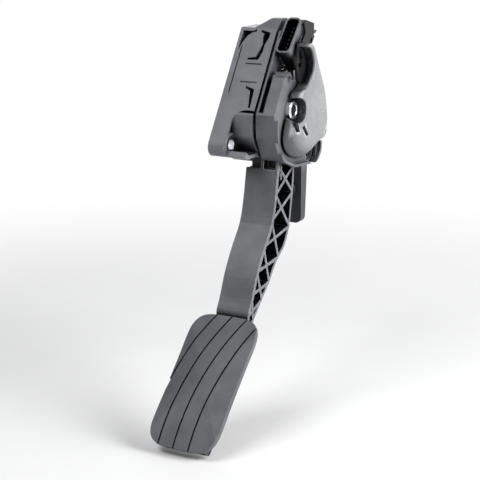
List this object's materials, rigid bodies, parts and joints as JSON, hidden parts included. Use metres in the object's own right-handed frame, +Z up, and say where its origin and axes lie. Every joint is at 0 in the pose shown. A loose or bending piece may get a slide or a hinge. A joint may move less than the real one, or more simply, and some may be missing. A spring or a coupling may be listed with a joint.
{
  "type": "accelerator pedal module",
  "caption": "Hanging accelerator pedal: a moulded housing with sensor, return springs and a ribbed arm carrying a grooved tread.",
  "frame": {"origin": "centre of the front mounting bore, on the flat mounting face", "axes": "+X along the mounting bolts away from the mounting face, -Y towards the driver, +Z up"},
  "size_m": [0.0591, 0.1886, 0.2957],
  "materials": {
    "housing_plastic": "fine moulded",
    "shell_plastic": "fine moulded",
    "sensor_plastic": "smooth moulded",
    "arm_plastic": "fine moulded",
    "tread_plastic": "grained",
    "sleeve_steel": "turned and plated",
    "spring_steel": "drawn wire",
    "screw_steel": "plated",
    "contact_metal": "plated",
    "board_green": "lacquered",
    "chip_black": "moulded",
    "target_copper": "rolled",
    "bush_plastic": "moulded",
    "seal_rubber": "moulded"
  },
  "bodies": {
    "base": {"housing": "housing_plastic", "side_shell": "shell_plastic", "sensor_body": "sensor_plastic", "sensor_cover": "sensor_plastic", "cover_seal": "seal_rubber", "terminals": "contact_metal", "circuit_board": "board_green", "board_chips": "chip_black", "pivot_tube": "sleeve_steel", "spring_outer": "spring_steel", "spring_inner": "spring_steel", "spring_cap": "bush_plastic", "sleeve_front": "sleeve_steel", "sleeve_rear": "sleeve_steel", "shell_screws": "screw_steel", "sensor_screws": "screw_steel", "travel_stop": "seal_rubber", "idle_stop": "seal_rubber"},
    "pedal": {"pedal_arm": "arm_plastic", "pedal_tread": "tread_plastic", "sensor_target": "target_copper", "bush_left": "bush_plastic", "bush_right": "bush_plastic", "spring_seat": "bush_plastic"}
  },
  "joints": [
    {"name": "pedal_swing", "type": "hinge", "parent": "base", "child": "pedal", "pos_m": [0.0315, 0.028, 0.025], "axis": [1, 0, 0], "range_deg": [0, 13], "stiffness_Nm_per_rad": 12, "springref_deg": -17.19, "deforming": ["spring_outer", "spring_inner"]}
  ]
}
